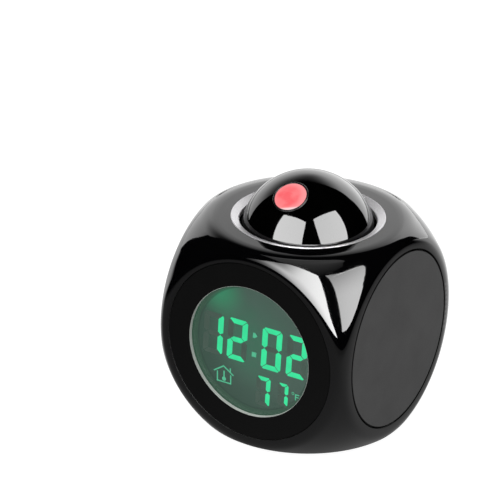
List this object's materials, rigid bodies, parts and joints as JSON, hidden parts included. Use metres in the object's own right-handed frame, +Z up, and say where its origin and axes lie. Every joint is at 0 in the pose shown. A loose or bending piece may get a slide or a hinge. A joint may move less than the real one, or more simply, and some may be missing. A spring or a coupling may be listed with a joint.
{
  "type": "projection alarm clock",
  "caption": "Die-shaped bedside alarm clock with a round backlit display in front and a projector ball on top that tilts and presses down.",
  "frame": {"origin": "on the table, under the middle of the case", "axes": "+Z up, the display faces -Y, +X is to the right of someone who reads the display"},
  "size_m": [0.08, 0.08, 0.0961],
  "materials": {
    "gloss_black_abs": "high gloss moulded",
    "matt_black_abs": "fine matt moulded",
    "matt_grey_abs": "fine matt moulded",
    "grey_key": "satin moulded",
    "silver_collar": "satin silver paint",
    "pale_trim": "satin",
    "clear_acrylic": "polished",
    "lcd_green": "lit from behind",
    "white_abs": "satin",
    "light_guide": "polished acrylic",
    "conductive_rubber": "striped",
    "green_board": "solder mask",
    "black_resin": "cast",
    "zinc_screw": "zinc plated",
    "spring_steel": "drawn wire",
    "nickel_contact": "nickel plated",
    "cell_jacket": "shrink sleeve",
    "speaker_steel": "painted",
    "black_rubber": "matt",
    "grey_chassis": "moulded",
    "red_fibre": "pressed fibre",
    "red_lens": "polished, tinted",
    "led_resin": "clear cast"
  },
  "bodies": {
    "clock": {"housing": "gloss_black_abs", "display_bezel": "matt_black_abs", "window_trim": "pale_trim", "display_window": "clear_acrylic", "lcd_glass": "lcd_green", "lcd_holder": "white_abs", "backlight": "light_guide", "contact_strips": "conductive_rubber", "main_board": "green_board", "controller_chip": "black_resin", "board_screws": "zinc_screw", "side_panel_right": "matt_grey_abs", "side_panel_left": "matt_grey_abs", "rear_panel": "matt_black_abs", "key_board": "green_board", "key_switches": "black_resin", "key_board_screws": "zinc_screw", "speaker": "speaker_steel", "rear_screws": "zinc_screw", "base_cover": "matt_black_abs", "feet": "black_rubber", "battery_cells": "cell_jacket", "battery_contacts": "nickel_contact", "base_screws": "zinc_screw", "collar_ring": "silver_collar", "chassis": "grey_chassis", "chassis_screws": "zinc_screw", "press_switch": "black_resin", "return_spring": "spring_steel"},
    "carrier": {"ball_carrier": "grey_chassis"},
    "ball": {"pivot_pins": "spring_steel", "friction_washers": "red_fibre", "ball_shell": "gloss_black_abs", "ball_cap": "gloss_black_abs", "ball_screws": "zinc_screw", "lens_ring": "matt_black_abs", "projector_lens": "red_lens", "projector_barrel": "matt_black_abs", "condenser_lens": "clear_acrylic", "slide_lcd": "lcd_green", "led_board": "green_board", "led_emitter": "led_resin"},
    "mode_button": {"key_mode": "grey_key"},
    "set_button": {"key_set": "grey_key"},
    "up_button": {"key_up": "grey_key"},
    "down_button": {"key_down": "grey_key"},
    "door": {"battery_door": "matt_black_abs"}
  },
  "joints": [
    {"name": "ball_press", "type": "slide", "parent": "clock", "child": "carrier", "axis": [0, 0, -1], "range_m": [0, 0.0015], "stiffness_N_per_m": 800, "springref_m": -0.0008, "deforming": ["return_spring"]},
    {"name": "ball_tilt", "type": "hinge", "parent": "carrier", "child": "ball", "pos_m": [0, 0, 0.0709], "axis": [1, 0, 0], "range_deg": [-83, 20]},
    {"name": "mode_press", "type": "slide", "parent": "clock", "child": "mode_button", "axis": [0, -1, 0], "range_m": [0, 0.0006], "stiffness_N_per_m": 1500, "springref_m": -0.0003},
    {"name": "set_press", "type": "slide", "parent": "clock", "child": "set_button", "axis": [0, -1, 0], "range_m": [0, 0.0006], "stiffness_N_per_m": 1500, "springref_m": -0.0003},
    {"name": "up_press", "type": "slide", "parent": "clock", "child": "up_button", "axis": [0, -1, 0], "range_m": [0, 0.0006], "stiffness_N_per_m": 1500, "springref_m": -0.0003},
    {"name": "down_press", "type": "slide", "parent": "clock", "child": "down_button", "axis": [0, -1, 0], "range_m": [0, 0.0006], "stiffness_N_per_m": 1500, "springref_m": -0.0003},
    {"name": "door_turn", "type": "hinge", "parent": "clock", "child": "door", "pos_m": [0, 0.01475, 0.0022], "axis": [1, 0, 0], "range_deg": [0, 95]}
  ]
}
